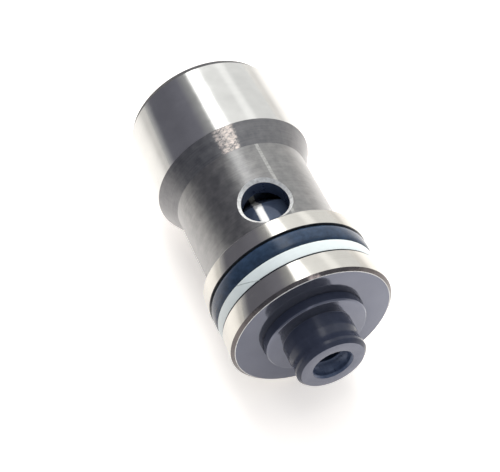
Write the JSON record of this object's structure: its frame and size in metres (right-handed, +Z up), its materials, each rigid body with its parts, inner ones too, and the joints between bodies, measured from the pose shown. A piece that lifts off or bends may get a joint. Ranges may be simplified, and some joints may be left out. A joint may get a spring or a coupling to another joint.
{
  "type": "cartridge valve",
  "caption": "Two-way poppet cartridge valve: waisted steel sleeve with cross ports and a sealed flange, spring-closed spool with tapped stem.",
  "frame": {"origin": "on the surface that the valve lies on, under the middle of its length", "axes": "+X along the valve's axis towards the tapped stem, +Z up; one cross port faces +Z and the other -Z"},
  "size_m": [0.0446, 0.022, 0.0219],
  "materials": {
    "ground_steel": "ground bright on the lands, oxide grey in the waist",
    "black_oxide_steel": "polished and blackened",
    "bright_steel": "ground",
    "spring_steel": "drawn and phosphated",
    "nitrile": "smooth moulded, oiled",
    "white_ptfe": "skived",
    "bronze_filled_ptfe": "skived",
    "bearing_bronze": "turned"
  },
  "bodies": {
    "sleeve_body": {"sleeve": "ground_steel", "sleeve_o_ring": "nitrile", "sleeve_backup_ring": "white_ptfe", "seat_insert": "black_oxide_steel", "seat_o_ring": "nitrile", "spring_washer": "bright_steel", "return_spring": "spring_steel", "rear_guide": "black_oxide_steel", "guide_bush": "bearing_bronze", "retaining_ring": "spring_steel"},
    "retainer_body": {"spring_retainer": "black_oxide_steel", "preload_shim_thin": "bright_steel", "preload_shim_thick": "bright_steel", "collet_left": "bright_steel", "collet_right": "bright_steel"},
    "spool_body": {"poppet_spool": "black_oxide_steel", "spool_guide_ring": "bronze_filled_ptfe", "spool_o_ring": "nitrile", "spool_backup_front": "white_ptfe", "spool_backup_rear": "white_ptfe"}
  },
  "joints": [
    {"name": "poppet_lift", "type": "slide", "parent": "sleeve_body", "child": "retainer_body", "axis": [1, 0, 0], "range_m": [0, 0.0025], "stiffness_N_per_m": 4000, "springref_m": -0.005, "deforming": ["return_spring"]},
    {"name": "spool_turn", "type": "hinge", "parent": "retainer_body", "child": "spool_body", "pos_m": [-0.01438, 0, 0.01096], "axis": [1, 0, 0], "continuous": true}
  ]
}
